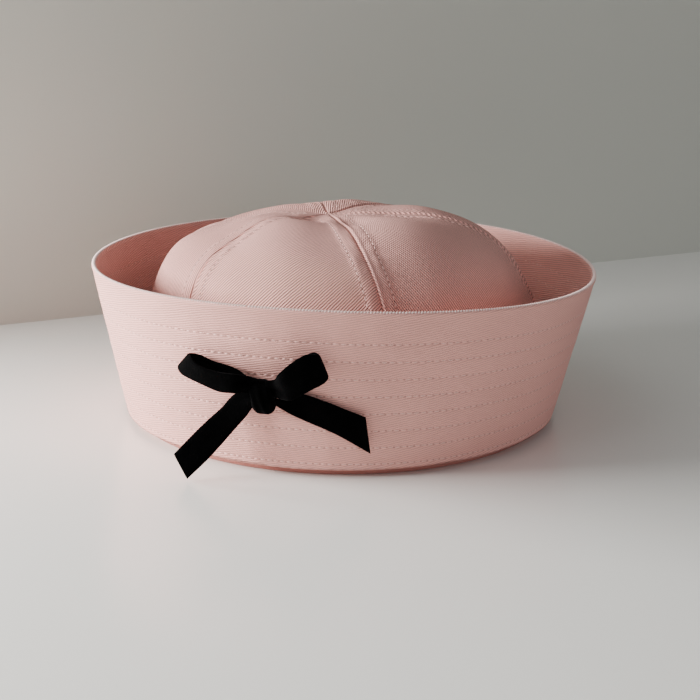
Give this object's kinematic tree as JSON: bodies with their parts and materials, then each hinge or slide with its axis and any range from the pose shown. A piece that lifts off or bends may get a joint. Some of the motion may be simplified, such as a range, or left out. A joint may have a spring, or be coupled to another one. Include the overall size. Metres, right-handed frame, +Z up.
{
  "type": "sailor cap",
  "caption": "Cloth sailor cap with a domed six-panel crown inside a tall turned-up brim and a velvet ribbon bow on the front.",
  "frame": {"origin": "middle of the bottom of the whole cap's bounding box, on the surface that the cap rests on", "axes": "+Z up through the crown, -Y towards the front where the bow is, +X to the right of someone who looks at the front"},
  "size_m": [0.2168, 0.2216, 0.0885],
  "materials": {
    "pink_twill": "matte cotton twill",
    "black_velvet": "velvet ribbon"
  },
  "bodies": {
    "root": {"brim": "pink_twill", "crown_panel_front": "pink_twill", "crown_panel_front_right": "pink_twill", "crown_panel_back_right": "pink_twill", "crown_panel_back": "pink_twill", "crown_panel_back_left": "pink_twill", "crown_panel_front_left": "pink_twill", "bow_knot": "black_velvet", "bow_loop_left": "black_velvet", "bow_loop_right": "black_velvet", "bow_tail_left": "black_velvet", "bow_tail_right": "black_velvet"}
  },
  "joints": []
}
